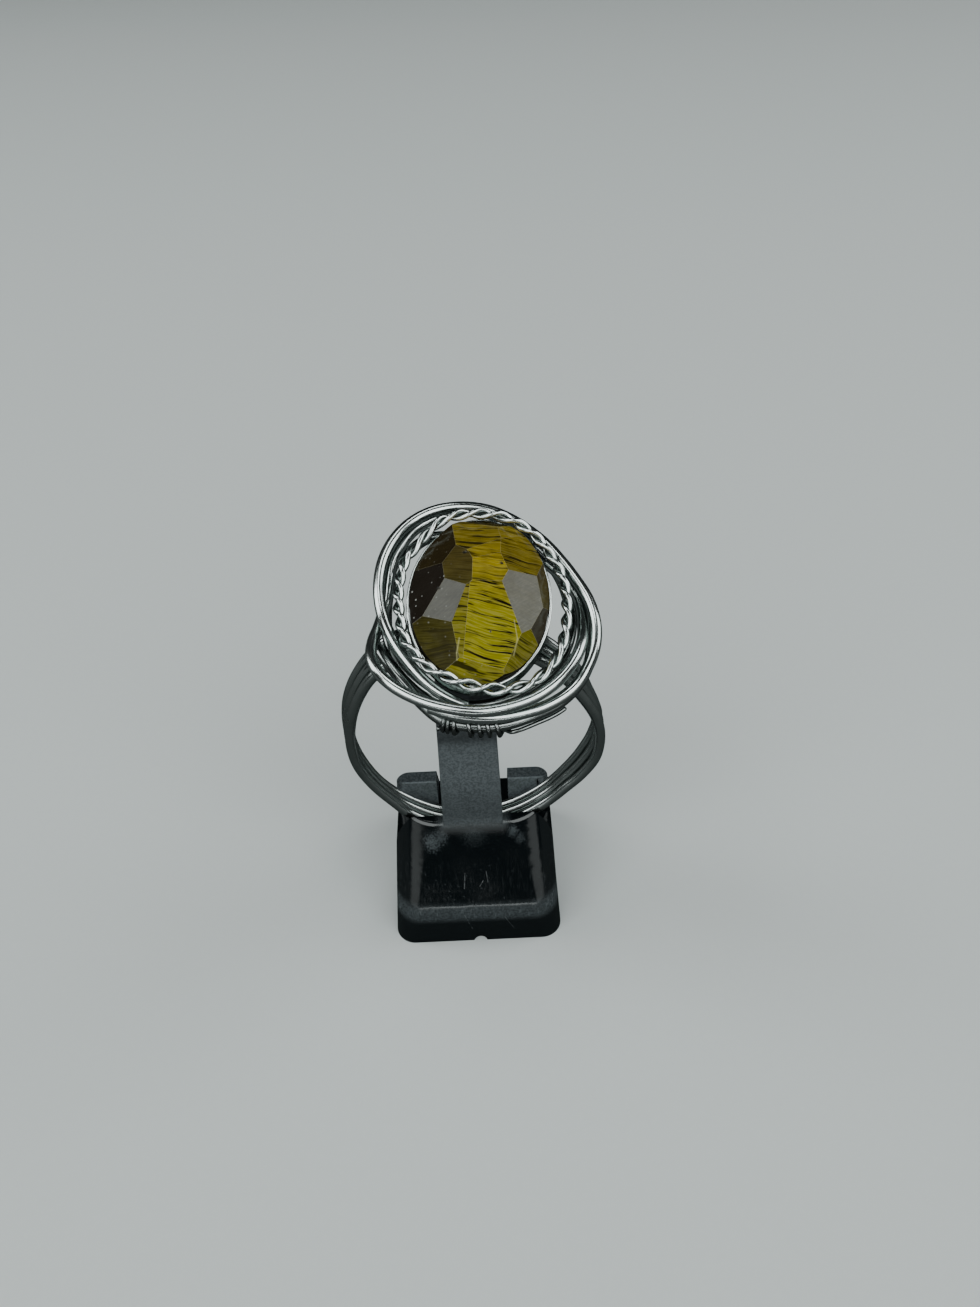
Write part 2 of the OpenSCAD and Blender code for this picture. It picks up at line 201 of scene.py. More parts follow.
# Level slices of the stand's foot
# columns: height, width, front, back, radius of the front corners, radius of the back corners
FOOT_SLICES = [
    (0, 14.4, -7.3, 7.3, 1.7, 1.7),
    (3.4, 13.9, -7.05, 7.05, 2.4, 1.7),
    (10.15, 13.25, -2.75, 3.31, 3.8, 1.14),
    (10.28, 13.24, -2.63, 3.24, 3.8, 1.12),
    (10.37, 13.23, -2.46, 3.19, 3.8, 1.12),
    (10.42, 13.22, -2.28, 3.16, 3.8, 1.1),
    (10.6, 13.2, -2.28, 3.05, 3.8, 1.1),
]

# How far the stand's edges are rounded: the foot's ridge, the tongue, and all corners over an angle
RIDGE_ROUND = 1.0
TONGUE_EDGE = 0.14
CORNER_ROUND = 0.2
CORNER_ANGLE = 32

# Outer front corner of each lug: middle of its rounding, seen from above, and radius
LUG_CORNER_X = 5.62
LUG_CORNER_ROUND = 1.1

# Curve in which the tongue runs out of the front wall: where its front starts, and its three heights
RUN_OUT_Y = -2.92
RUN_OUT_HEIGHTS = (9.9, 10.45, 11.1)

# Chip in the foot's front edge: middle, half sizes and lean
CHIP_PLACE = (0.15, -7.5, 0.1)
CHIP_SIZE = (0.6, 0.6, 0.95)
CHIP_LEAN = 0.25

# Reach of the cutters, past every side of the stand
FAR = 10

# Zones of the stand that look different: clear at the first place and full at the second
# columns: first place, second place, and the shares at both where they aren't 0 and 1
ZONES = {
    "over the ridge": (3.5, 5.0),
    "under the wall's top": (8.5, 6.0),
    "front face": (-2.6, -2.9),
    "at the tongue's root": (9.2, 9.9),
    "in the middle": (3.4, 2.3),
    "over the tongue's root": (9.6, 10.6),
    # painted light: lighter up the tongue, and darker under its bend where the head shades it
    "up the tongue": (12.0, 16.5, 0.34, 0.52),
    "under the tongue's bend": (20.6, 19.4, 0.4, 1.0),
    "behind the groove": (1.5, 1.7),
    "over the groove's floor": (7.0, 8.0),
    # painted light: the lugs' front faces get more than their tops
    "front of the lugs": (1.8, 2.0, 0.95, 0.35),
    # the band of painted highlight round the foot's ridge
    "under the ridge's top": (4.6, 3.8),
    "over the ridge's foot": (2.4, 3.2),
}

# Scratches on the front of the foot, seen from the front
# columns: x and z of one end, x and z of the other end, width
SCRATCHES = [
    (-1.1, 3.3, -0.5, 1.6, 0.04),
    (2.3, 3.0, 3.1, 1.4, 0.04),
    (-0.9, 6.6, -1.0, 5.5, 0.05),
    (0.9, 6.7, 1.0, 5.9, 0.04),
    (0.6, 6.0, 0.3, 5.6, 0.04),
]

# Soft smudges on the front of the foot, seen from the front
# columns: x, z, size, strength
SMUDGES = [
    (-3.5, 9.0, 1.4, 0.3), (-2.8, 9.4, 1.3, 0.22), (3.3, 9.6, 0.9, 0.26), (3.9, 9.0, 0.8, 0.16),
    (0.0, 9.8, 2.2, 0.12),
]

# Soft lights, placed as seen from the ring; headings run clockwise from straight behind it
# columns: name, height angle, heading, distance, width, height, glow
LIGHTS = [
    ("top_back", 74, -10, 900, 250, 250, 3.0),
    ("front_right", 42, 142, 900, 760, 700, 2.4),
    ("front_left", 42, -140, 900, 760, 700, 2.4),
    ("left", 37, -74, 900, 360, 940, 2.6),
    ("right", 34, 78, 900, 520, 700, 2.2),
    ("low_front", 1, 180, 900, 900, 60, 2.4),
    ("low_left", 6, -134, 900, 560, 140, 0.6),
    ("low_right", 6, 134, 900, 560, 140, 0.6),
]
LIT_POINT = Vector((0.0, 0.0, 25.0))

# Place of the camera, height of its film and radius of the floor
CAMERA_PLACE = Vector((2.07, -54.23, 75.74))
FILM_HEIGHT = 36
FLOOR_RADIUS = 4000

# Facet edges of the stone with a painted highlight
# columns: across and along of one end, across and along of the other end, width
BRIGHT_EDGES = [
    (-1.2, -4.3, -1.3, -5.3, 0.1),
    (-1.3, -5.3, -1.25, -5.8, 0.08),
    (2.5, -2.6, 2.8, -3.9, 0.07),
    (2.8, -3.9, 2.6, -5.0, 0.09),
]

# Small pits in the stone's face
# columns: across, along, size
PITS = [(-1.3, 2.6, 0.3), (1.4, 1.8, 0.28), (-2.9, -0.4, 0.2), (0.9, -3.6, 0.16)]


# Settings

def size_setting(name, description, millimetres):
    return FloatProperty(name=name, description=description, default=millimetres * MM,
                         min=0.0, precision=5, unit="LENGTH")


def colour_setting(name, description, colour):
    return FloatVectorProperty(name=name, description=description, default=colour,
                               size=3, min=0.0, max=1.0, subtype="COLOR")


def glow_setting(name, description, glow):
    return FloatProperty(name=name, description=description, default=glow, min=0.0)


def angle_setting(name, description, degrees):
    return FloatProperty(name=name, description=description, default=math.radians(degrees),
                         subtype="ANGLE")


class StoneSettings(bpy.types.PropertyGroup):
    """Sizes and colours of the stone and its bezel."""
    length: size_setting("Length", "Length of the oval stone", 14)
    width: size_setting("Width", "Width of the oval stone", 10)
    dome_height: size_setting("Dome height", "Height over the rim of the dome that the facets touch", 2.4)
    depth: size_setting("Depth", "Depth of the stone under the rim", 1.2)
    bezel_wall: size_setting("Bezel wall", "Thickness of the strip round the stone", 0.2)
    bezel_gap: size_setting("Bezel gap", "Clearance between the stone and the strip", 0.05)
    bezel_height: size_setting("Bezel height", "Height of the strip round the stone", 1.2)
    dark_brown: colour_setting("Dark brown", "Stone away from its sheen", (0.02, 0.013, 0.009))
    golden: colour_setting("Golden", "Sheen towards the stone's top end", (0.29, 0.205, 0.005))
    lemon: colour_setting("Lemon", "Sheen towards the stone's bottom end", (0.27, 0.235, 0.009))
    cream: colour_setting("Cream", "Palest fibres of the sheen", (0.6, 0.55, 0.25))
    # painted reflection: the silky grey tan of facets that catch the light
    grey_tan: colour_setting("Grey tan", "Stone where a facet looks silky", (0.13, 0.12, 0.1))
    dark_fibre: colour_setting("Dark fibre", "Dark fibres across the sheen", (0.008, 0.006, 0.003))
    dark_pit: colour_setting("Dark pit", "Inside of the small pits", (0.006, 0.005, 0.004))
    worn_ridge: colour_setting("Worn ridge", "Edges between the facets", (0.5, 0.46, 0.3))
    white_speck: colour_setting("White speck", "Pale specks in the dark facets", (0.45, 0.45, 0.42))


class WireSettings(bpy.types.PropertyGroup):
    """Sizes and colours of the round wires."""
    thick: size_setting("Thick wire", "Diameter of the nest and shank wires", 0.9)
    strand: size_setting("Strand", "Diameter of one strand of the twisted wire", 0.42)
    binding: size_setting("Binding wire", "Diameter of the binding wire", 0.32)
    spacing: size_setting("Shank spacing", "Spacing of the three shank wires", 0.94)
    twist_turns: IntProperty(name="Twist turns", default=14, min=8, max=24,
                             description="Whole turns of the twist round the stone")
    silver: colour_setting("Silver", "Polished wire", (0.86, 0.89, 0.88))
    tarnish: colour_setting("Tarnish", "Clouded wire", (0.42, 0.48, 0.45))
    # painted reflection: the dim colour that a wire shows in other polished wire
    painted_dim_reflection: colour_setting("Mirrored", "Wire as other polished wire shows it", (0.24, 0.28, 0.265))


class StandSettings(bpy.types.PropertyGroup):
    """Sizes and colours of the display stand."""
    wall_height: size_setting("Wall height", "Height of the front wall", 10.4)
    groove_width: size_setting("Groove width", "Width of the groove that holds the ring", 3.5)
    groove_floor: size_setting("Groove floor", "Height of the groove's floor", 6.8)
    lug_gap: size_setting("Lug gap", "Gap between the two back lugs", 6.2)
    tongue_width: size_setting("Tongue width", "Width of the tongue at its root", 5)
    tip_width: size_setting("Tip width", "Width of the tongue at its tip", 4.6)
    tongue_thickness: size_setting("Tongue thickness", "Thickness of the tongue", 0.8)
    tongue_bend: size_setting("Tongue bend", "Outer radius of the tongue's hook", 3.4)
    bend_height: size_setting("Bend height", "Height where the tongue starts to bend", 20.5)
    black: colour_setting("Black", "Moulded plastic", (0.003, 0.0045, 0.0055))
    # painted light: the lit grey of the tongue, the lugs and the foot's ridge, and also the colour of the
    # smudges' haze
    haze_and_painted_light: colour_setting("Haze", "Handled, hazy plastic", (0.19, 0.215, 0.23))
    dust: colour_setting("Dust", "Dust and scratches on the plastic", (0.2, 0.22, 0.23))


class StudioSettings(bpy.types.PropertyGroup):
    """Light, floor and camera."""
    floor: colour_setting("Floor", "Plain pale floor", (0.7, 0.72, 0.72))
    # painted reflection: the near-black that polished pieces see in the floor
    painted_dark_floor_reflection: colour_setting("Mirrored floor", "Floor as polished wire shows it",
                                   (0.013, 0.018, 0.017))
    room: colour_setting("Room", "Tint of the dim room round the ring", (0.8, 1.0, 0.95))
    lamp: colour_setting("Lamp", "Colour of the soft lights", (0.93, 1.0, 0.985))
    brightness: glow_setting("Brightness", "Brightness of all the soft lights", 1.0)
    surroundings: glow_setting("Surroundings", "Brightness of the dim room round the ring", 0.013)
    backdrop: glow_setting("Backdrop", "Brightness of the backdrop past the floor's edge", 0.9)
    pitch: angle_setting("Pitch", "How far the camera looks down", 42)
    roll: angle_setting("Roll", "How far the camera leans sideways", 2.65)
    lens: FloatProperty(name="Lens", default=27.05, min=10.0, subtype="DISTANCE_CAMERA",
                        description="Focal length on a film 36 mm high")


SETTINGS = {
    "ring_stone": StoneSettings,
    "ring_wire": WireSettings,
    "ring_stand": StandSettings,
    "ring_studio": StudioSettings,
}


def millimetres(length):
    return length / MM


# Curves through the tables

def slope_at(table, row, column):
    low, high = max(row - 1, 0), min(row + 1, len(table) - 1)
    return (table[high][column] - table[low][column]) / (table[high][0] - table[low][0])


def smooth(table, place, column):
    """Value of a column at a place, along a smooth curve through the rows."""
    row = max(i for i in range(len(table) - 1) if i == 0 or table[i][0] <= place)
    span = table[row + 1][0] - table[row][0]
    t = (place - table[row][0]) / span
    return ((2 * t ** 3 - 3 * t ** 2 + 1) * table[row][column]
            + (t ** 3 - 2 * t ** 2 + t) * span * slope_at(table, row, column)
            + (3 * t ** 2 - 2 * t ** 3) * table[row + 1][column]
            + (t ** 3 - t ** 2) * span * slope_at(table, row + 1, column))


def looped(table):
    """A closed loop's table, with rows added before its start and after its end."""
    def shifted(rows, turn):
        return [(row[0] + turn, *row[1:]) for row in rows]
    return shifted(table[-2:], -360) + list(table) + shifted(table[:3], 360)


def around(angle, reach, level=0.0):
    turn = math.radians(angle)
    return Vector((reach * math.cos(turn), reach * math.sin(turn), level))


def nest_point(table, angle):
    return around(angle, smooth(table, angle, 1), smooth(table, angle, 2))


def beside(table, angle, off, phase):
    """Point that stands off a wire's centreline, in the direction that its phase round it gives."""
    return nest_point(table, angle) + around(angle, off * math.cos(phase), off * math.sin(phase))


def stretch(first, last, count):
    return [first + (last - first) * i / count for i in range(count + 1)]


# Places of the head and the ring in the frame
HEAD = (Matrix.Translation((1.5, 0.9, 31.4))
        @ Matrix.Rotation(math.radians(4), 4, "Y")
        @ Matrix.Rotation(math.radians(18), 4, "X")
        @ Matrix.Rotation(math.radians(-4), 4, "Z"))
RING_MIDDLE = Vector((0.6, 0.0, 19.0))


# Mesh tools

def fresh(kind, name, *contents):
    """New data of one kind, in place of any older one with the same name."""
    old = kind.get(name)
    if old is not None:
        kind.remove(old)
    return kind.new(name, *contents)


def show(name, contents):
    """Adds an object to the scene."""
    piece = fresh(bpy.data.objects, name, contents)
    bpy.context.scene.collection.objects.link(piece)
    return piece


def add_piece(name, mesh, finish, node, place=Matrix()):
    """Shows a mesh built in millimetres, which stands for one CAD node."""
    mesh.transform(Matrix.Scale(MM, 4) @ place)
    mesh.materials.clear()
    mesh.materials.append(finish)
    piece = show(name, mesh)
    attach(piece, "root")
    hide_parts(node)


def rounded_end(path):
    """Path with extra points in its first stretch, and how thick the wire is at each point."""
    start, step = path[0], (path[1] - path[0]).normalized()
    turns = [math.radians(angle) for angle in (12, 30, 50, 70, 90)]
    extra = [start + step * WIRE_END * (1 - math.cos(turn)) for turn in turns]
    return extra + path[1:], [math.sin(turn) for turn in turns] + [1.0] * (len(path) - 1)


def wire_mesh(name, path, sides_of_path, diameter, sides, closed):
    """Round wire along a path. Its faces know their place along and round the wire."""
    radius = diameter / 2
    thickness = [1.0] * len(path)
    if not closed:
        path, first = rounded_end(path)
        path, last = rounded_end(path[::-1])
        path = path[::-1]
        extra = len(first) - len(thickness)
        thickness = [a * b for a, b in zip(first + [1.0] * extra, last[::-1])]
        sides_of_path = [sides_of_path[0]] * extra + sides_of_path + [sides_of_path[-1]] * extra
    count = len(path)
    points, places, travelled = [], [], 0.0
    for i, point in enumerate(path):
        before = path[(i - 1) % count] if closed else path[max(i - 1, 0)]
        after = path[(i + 1) % count] if closed else path[min(i + 1, count - 1)]
        forward = (after - before).normalized()
        up = forward.cross(sides_of_path[i]).normalized()
        across = up.cross(forward)
        travelled += (point - path[i - 1]).length if i else 0.0
        for turn in stretch(0, math.tau, sides)[:-1]:
            spoke = math.cos(turn) * across + math.sin(turn) * up
            points.append(point + radius * thickness[i] * spoke)
            places.append((math.cos(turn), math.sin(turn), travelled))
    faces = []
    for i in range(count if closed else count - 1):
        here, there = i * sides, (i + 1) % count * sides
        for j in range(sides):
            k = (j + 1) % sides
            faces.append((here + k, there + k, there + j, here + j))
    if not closed:
        faces.append(tuple(reversed(range(sides))))
        faces.append(tuple((count - 1) * sides + j for j in range(sides)))
    mesh = bpy.data.meshes.new(name)
    mesh.from_pydata(points, [], faces)
    mesh.shade_smooth()
    place = mesh.attributes.new("wire_place", "FLOAT_VECTOR", "POINT")
    place.data.foreach_set("vector", [value for p in places for value in p])
    return mesh


def skin(shape, rings, closed=False):
    """Covers rings of corners with bands of faces, and caps the first and last ring or joins them."""
    if not closed:
        shape.faces.new(rings[0][::-1])
        shape.faces.new(rings[-1])
    for low, high in zip(rings, rings[1:] + rings[:1] if closed else rings[1:]):
        for i in range(len(low)):
            shape.faces.new((low[i - 1], low[i], high[i], high[i - 1]))


def as_mesh(shape, name="shape"):
    """Ends a bmesh as a mesh whose faces look outwards."""
    bmesh.ops.recalc_face_normals(shape, faces=shape.faces[:])
    mesh = bpy.data.meshes.new(name)
    shape.to_mesh(mesh)
    shape.free()
    return mesh


def crisp_mesh(shape):
    """Ends a bmesh as a smooth mesh whose sharper edges stay crisp."""
    mesh = as_mesh(shape)
    mesh.shade_smooth()
    mesh.set_sharp_from_angle(angle=math.radians(CRISP_ANGLE))
    return mesh


def even_shading(mesh):
    """Lets large flat faces set the shading at their corners, so that only rounded edges curve."""
    share = math.cos(math.radians(CRISP_ANGLE))
    meeting = [[] for vertex in mesh.vertices]
    for face in mesh.polygons:
        for corner in face.vertices:
            meeting[corner].append((face.normal.copy(), face.area))
    normals = []
    for face in mesh.polygons:
        for corner in face.vertices:
            near = [normal * area for normal, area in meeting[corner]
                    if normal.dot(face.normal) > share]
            normals.append(sum(near, Vector()).normalized())
    mesh.normals_split_custom_set(normals)
    return mesh


def cut_away(shape, cutter):
    """Takes one closed bmesh out of another."""
    body, tool = show("cut_body", as_mesh(shape)), show("cut_tool", as_mesh(cutter))
    cut = body.modifiers.new("cut", "BOOLEAN")
    cut.operation = "DIFFERENCE"
    cut.solver = "EXACT"
    cut.object = tool
    bpy.context.view_layer.update()
    result = bmesh.new()
    result.from_object(body, bpy.context.evaluated_depsgraph_get())
    for used in (body, tool):
        bpy.data.objects.remove(used)
    return result


def block(low, high):
    shape = bmesh.new()
    low, high = Vector(low), Vector(high)
    place = Matrix.Translation((low + high) / 2) @ Matrix.Diagonal((*(high - low), 1.0))
    bmesh.ops.create_cube(shape, size=1.0, matrix=place)
    return shape


# Shader tools

class Value:
    """A number, place or colour that a node works out. The signs + - * add the node that does it."""
    def __init__(self, tree, socket):
        self.tree = tree
        self.socket = socket

    def other(self, output):
        """Another output of the same node."""
        return Value(self.tree, self.socket.node.outputs[output])

    def __add__(self, term):
        return calc("ADD", self, term)

    def __sub__(self, term):
        return calc("SUBTRACT", self, term)

    def __mul__(self, factor):
        return calc("MULTIPLY", self, factor)


def feed(socket, value):
    """Links a worked-out value to a socket, or sets a fixed one on it."""
    if isinstance(value, Value):
        value.tree.links.new(value.socket, socket)
    else:
        socket.default_value = value


def put(kind, inputs, output=0, tree=None, **settings):
    """Adds a node to the given tree, or to its inputs' tree, and returns one of its outputs."""
    if tree is None:
        tree = next(value.tree for value in inputs.values() if isinstance(value, Value))
    made = tree.nodes.new("ShaderNode" + kind)
    for name, value in settings.items():
        setattr(made, name, value)
    for name, value in inputs.items():
        feed(made.inputs[name], value)
    return Value(tree, made.outputs[output])


def calc(operation, *values):
    return put("Math", dict(enumerate(values)), operation=operation)


def most(first, *others):
    """The greatest of some values."""
    for other in others:
        first = calc("MAXIMUM", first, other)
    return first


def vector(operation, *values):
    output = "Value" if operation in {"DISTANCE", "DOT_PRODUCT"} else 0
    return put("VectorMath", dict(enumerate(values)), output, operation=operation)


def scaled(place, share):
    return put("VectorMath", {0: place, "Scale": share}, operation="SCALE")


def clamped(value):
    return put("Clamp", {0: value})


def step_up(value, low, high, out_low=0.0, out_high=1.0):
    """Soft step from one value to another as the input goes from low to high."""
    return put("MapRange", {"Value": value, "From Min": low, "From Max": high,
                            "To Min": out_low, "To Max": out_high},
               interpolation_type="SMOOTHSTEP")


def mix(share, first, second, blend_type="MIX"):
    return put("Mix", {0: share, 6: first, 7: second}, 2, data_type="RGBA", blend_type=blend_type)


def noise(place, scale, detail=2.0, roughness=0.5):
    return put("TexNoise", {"Vector": place, "Scale": scale, "Detail": detail, "Roughness": roughness})


def split(place):
    x = put("SeparateXYZ", {0: place})
    return x, x.other(1), x.other(2)


def joined(x, y, z):
    return put("CombineXYZ", {0: x, 1: y, 2: z})


def bump(height, strength, depth):
    return put("Bump", {"Height": height, "Strength": strength, "Distance": depth})


def seen_by(tree, kind_of_ray):
    """1 for one kind of ray and 0 for the others."""
    return put("LightPath", {}, kind_of_ray, tree)


def stored(tree, name):
    return put("Attribute", {}, "Vector", tree, attribute_name=name)


def frame_place(tree):
    """Place in the frame, in millimetres."""
    return scaled(put("TexCoord", {}, "Object", tree), 1 / MM)


def head_place(tree):
    """Place on the head, in millimetres: across, along and level."""
    return put("Mapping", {"Vector": put("TexCoord", {}, "Object", tree),
                           "Location": HEAD.to_translation() * MM, "Rotation": HEAD.to_euler(),
                           "Scale": (MM, MM, MM)}, vector_type="TEXTURE")


def solid(colour, shade=1.0):
    return (*(part * shade for part in colour), 1.0)


# Effects that the finishes share

def specks(place, scale, share, size):
    """Small separate specks, on a share of the surface."""
    gap = put("TexVoronoi", {"Vector": place, "Scale": scale}, "Distance")
    red = put("SeparateColor", {0: gap.other("Color")})
    return step_up(gap, size, 0.0) * calc("LESS_THAN", red, share)


def streaks(place, scale, low, high):
    """Fine streaks along the direction in which the place is squeezed."""
    return step_up(noise(place, scale, 3.0, 0.6), low, high)


def clouds(place, scale, low, high):
    """Soft patches, for tarnish, handling marks and uneven polish."""
    return step_up(noise(place, scale, 4.0, 0.55), low, high)


def line(place, start, end, width):
    """One thin line between two points, such as a scratch."""
    whole = vector("SUBTRACT", end, start)
    reach = vector("SUBTRACT", place, start)
    share = calc("DIVIDE", vector("DOT_PRODUCT", reach, whole), vector("DOT_PRODUCT", whole, whole))
    return step_up(vector("DISTANCE", reach, scaled(whole, clamped(share))), width, 0.0)


def pit(place, middle, size):
    """One small pit with a ragged edge."""
    gap = vector("DISTANCE", place, middle) + noise(place, 6.0) * size
    return step_up(gap, size * 1.2, size * 0.6)


# columns: the effect's function, its inputs after the place
EFFECTS = {
    "Specks": (specks, {"Scale": 5.0, "Share": 0.2, "Size": 0.2}),
    "Streaks": (streaks, {"Scale": 4.0, "Low": 0.5, "High": 0.7}),
    "Clouds": (clouds, {"Scale": 0.5, "Low": 0.4, "High": 0.7}),
    "Line": (line, {"Start": (0, 0, 0), "End": (0, 0, 0), "Width": 0.05}),
    "Pit": (pit, {"Middle": (0, 0, 0), "Size": 0.2}),
}


def effect_group(name):
    """Makes the node group of one effect, with its named inputs and its mask."""
    mask, inputs = EFFECTS[name]
    inputs = {"Place": (0, 0, 0), **inputs}
    group = bpy.data.node_groups.new(name, "ShaderNodeTree")
    for label, value in inputs.items():
        kind = "NodeSocketVector" if isinstance(value, tuple) else "NodeSocketFloat"
        group.interface.new_socket(label, in_out="INPUT", socket_type=kind).default_value = value
    group.interface.new_socket("Mask", in_out="OUTPUT", socket_type="NodeSocketFloat")
    given = group.nodes.new("NodeGroupInput").outputs
    result = group.nodes.new("NodeGroupOutput").inputs["Mask"]
    feed(result, mask(*(Value(group, given[label]) for label in inputs)))
    return group


def effect(name, place, **inputs):
    """Places one of the shared effects and returns its mask."""
    made = place.tree.nodes.new("ShaderNodeGroup")
    made.node_tree = bpy.data.node_groups.get(name) or effect_group(name)
    feed(made.inputs["Place"], place)
    for label, value in inputs.items():
        feed(made.inputs[label.title()], value)
    return Value(place.tree, made.outputs[0])


# Finishes

def new_finish(name):
    finish = fresh(bpy.data.materials, name)
    finish.use_nodes = True
    return finish, finish.node_tree, finish.node_tree.nodes["Principled BSDF"]


def dress(surface, looks):
    """Gives a shader its colour, roughness and the like, by the names of its sockets."""
    for name, value in looks.items():
        feed(surface.inputs[name], value)


def zone(value, name):
    return step_up(value, *ZONES[name])


def tiger_eye_finish(look):
    """Polished tiger eye: brown, a painted golden sheen band, painted light and reflections per facet, dark
    fibres, pits and specks.
    """
    finish, tree, surface = new_finish("tiger_eye")
    place = head_place(tree)
    across, along, _ = split(place)
    # painted light: each facet's sheen, brightness and silky grey reflection are painted into its colour
    gold, light, grey = split(stored(tree, "facet_tone"))
    striped, specked, ridge = split(stored(tree, "facet_marks"))

    # the fibres run level at the top end and slope down to the right at the bottom end
    lean = step_up(along, 5.0, -4.0, 0.02, 0.1)
    height = across * lean + along + noise(place, 0.35, 1.0) * 0.9
    shift = gold * 3.0
    fibre = joined(across * 0.25 + shift, height * 3.4, shift)
    bold = effect("Streaks", fibre, scale=1.0, low=0.56, high=0.64)
    fine_fibre = joined(across * 0.5, height * 9.0, shift)
    fine = effect("Streaks", fine_fibre, scale=1.0, low=0.4, high=0.7)
    ripple = calc("SINE", (height + noise(fibre, 0.6)) * 8.0)
    broken = step_up(noise(fibre, 1.6), 0.42, 0.56)
    dark_line = most(bold, step_up(ripple, 0.72, 0.92) * broken, fine * 0.24) * striped

    # the silky facets show fine slanting lines
    slant = joined(across + along, (along - across) * 5.0, 3.0)
    silk = effect("Streaks", slant, scale=1.0, low=0.4, high=0.7)
    patches = noise(place, 0.7, 4.0, 0.6)
    gold = calc("POWER", clamped((patches - 0.5) * 1.2 * gold + gold), 1.4)
    # painted sheen: golden towards the top end and lemon towards the bottom end
    sheen = mix(step_up(along, 2.5, -3.5), solid(look.golden), solid(look.lemon))
    colour = mix(gold, solid(look.dark_brown), sheen)
    tan = mix(silk, solid(look.grey_tan, 0.8), solid(look.grey_tan, 1.15))
    colour = mix(grey * step_up(patches, 0.35, 0.6, 0.6, 1.0), colour, tan)
    colour = mix(1.0, colour, joined(light, light, light), "MULTIPLY")
    colour = mix(step_up(fine, 0.5, 0.0) * gold * 0.1, colour, solid(look.cream))
    colour = mix(dark_line, colour, solid(look.dark_fibre))
    colour = mix(ridge * 0.25, colour, solid(look.worn_ridge))

    white = effect("Specks", place, scale=2.6, share=0.4, size=0.28) * specked
    colour = mix(white, colour, solid(look.white_speck))
    face_place = joined(across, along, 0.0)
    # painted highlights along some facet edges
    for x1, y1, x2, y2, width in BRIGHT_EDGES:
        worn = effect("Line", face_place, start=(x1, y1, 0.0), end=(x2, y2, 0.0), width=width)
        colour = mix(worn * 0.4, colour, solid(look.cream))
    pits = most(*(effect("Pit", face_place, middle=(x, y, 0.0), size=size) for x, y, size in PITS))
    colour = mix(pits, colour, solid(look.dark_pit))

    smears = effect("Clouds", place, scale=0.8, low=0.4, high=0.8)
    dress(surface, {"Base Color": colour, "Roughness": most(smears * 0.08 + 0.1, pits * 0.5),
                    "Normal": bump(white * 0.3 - pits, 0.5, 0.00008), "IOR": 1.54,
                    "Specular IOR Level": 0.35})
    return finish


def silver_finish(look, name="polished_silver", tarnish_and_shade=1.0, painted_shade_scale=1.0):
    """Polished round wire: drawing lines along it, cloudy tarnish and a few nicks. Wires that lie in shade
    get a darker copy of it, as painted shade, through a lower scale and more tarnish.
    """
    finish, tree, surface = new_finish(name)
    place = frame_place(tree)
    round_x, round_y, travelled = split(stored(tree, "wire_place"))
    along_wire = joined(round_x * 4.0, round_y * 4.0, travelled * 0.25)
    drawn = effect("Streaks", along_wire, scale=1.5, low=0.45, high=0.7)
    clouded = effect("Clouds", place, scale=0.4, low=0.45, high=0.75)
    nicks = effect("Specks", place, scale=1.6, share=0.07, size=0.16)
    # painted shade: both colours are darkened by the scale
    dull = solid(look.tarnish, painted_shade_scale)
    colour = mix(clouded * (0.4 * tarnish_and_shade), solid(look.silver, painted_shade_scale), dull)
    colour = mix(drawn * 0.06, colour, dull)
    # painted reflection: other polished wire shows a wire in a dim painted colour, so highlights stay clear
    colour = mix(seen_by(tree, "Is Glossy Ray"), colour, solid(look.painted_dim_reflection))
    rough = clouded * (0.08 * tarnish_and_shade) + drawn * 0.02 + (0.12 + 0.04 * tarnish_and_shade)
    dress(surface, {"Base Color": colour, "Roughness": rough, "Metallic": 1.0,
                    "Normal": bump(nicks, 0.3, -0.00002)})
    return finish


